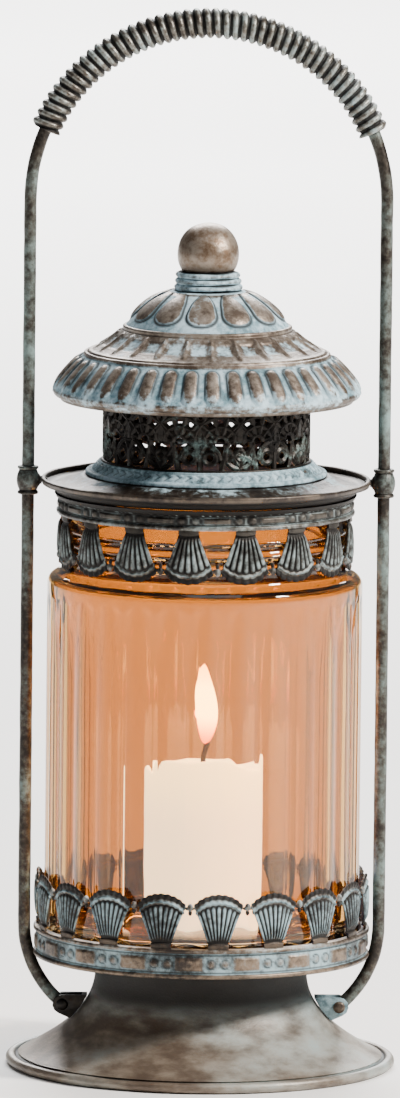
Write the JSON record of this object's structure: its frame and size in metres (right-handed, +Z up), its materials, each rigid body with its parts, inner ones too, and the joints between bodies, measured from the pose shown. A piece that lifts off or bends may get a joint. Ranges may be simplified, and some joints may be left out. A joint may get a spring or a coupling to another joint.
{
  "type": "hanging lantern",
  "caption": "Hanging candle lantern with a fluted glass jar, a pierced domed cover that slides up two rods, scalloped galleries and a wire-wrapped bail handle on a flared foot.",
  "frame": {"origin": "centre of the foot's underside, on the surface that the lantern stands on", "axes": "+Z up, along the jar's axis; X across the bail, from its left rod to its right rod; -Y is the front"},
  "size_m": [0.156, 0.156, 0.4263],
  "materials": {
    "verdigris_iron": "blue-green verdigris patina over brown-bronze iron sheet, matte",
    "dark_iron": "dark brown patinated iron, satin",
    "rubbed_bronze": "brown bronze rubbed bright on the high spots, satin",
    "grip_wire": "weathered grey-brown iron wire with pale patina between the turns",
    "amber_glass": "fluted pressed glass with a warm amber tint",
    "candle_wax": "white pillar-candle wax, soft sheen",
    "wick_cotton": "charred cotton wick"
  },
  "bodies": {
    "stand": {"foot": "verdigris_iron", "pan": "dark_iron", "lower_gallery": "verdigris_iron", "pan_bolt": "dark_iron", "pan_washer": "dark_iron", "pan_nut": "dark_iron", "bail_rod": "verdigris_iron", "grip_wrap": "grip_wire", "bail_bracket_left": "verdigris_iron", "bail_bracket_right": "verdigris_iron", "bail_rivet_left": "rubbed_bronze", "bail_rivet_right": "rubbed_bronze"},
    "cover": {"shoulder_plate": "dark_iron", "vent_ring": "verdigris_iron", "upper_gallery": "verdigris_iron", "vent_collar": "dark_iron", "roof_skirt": "verdigris_iron", "roof_crown": "verdigris_iron", "finial_collar": "verdigris_iron", "finial_ball": "rubbed_bronze", "finial_stud": "dark_iron", "finial_washer": "dark_iron", "finial_nut": "dark_iron", "guide_sleeve_left": "dark_iron", "guide_sleeve_right": "dark_iron", "sleeve_pin_left": "rubbed_bronze", "sleeve_pin_right": "rubbed_bronze"},
    "jar": {"glass_jar": "amber_glass"},
    "candle": {"candle": "candle_wax", "wick": "wick_cotton"}
  },
  "joints": [
    {"name": "cover_slide", "type": "slide", "parent": "stand", "child": "cover", "axis": [0, 0, 1], "range_m": [0, 0.07]},
    {"name": "jar_turn", "type": "hinge", "parent": "stand", "child": "jar", "pos_m": [0, 0, 0.0482], "axis": [0, 0, 1], "continuous": true},
    {"name": "candle_lift", "type": "slide", "parent": "jar", "child": "candle", "axis": [0, 0, 1], "range_m": [0, 0.1]}
  ]
}
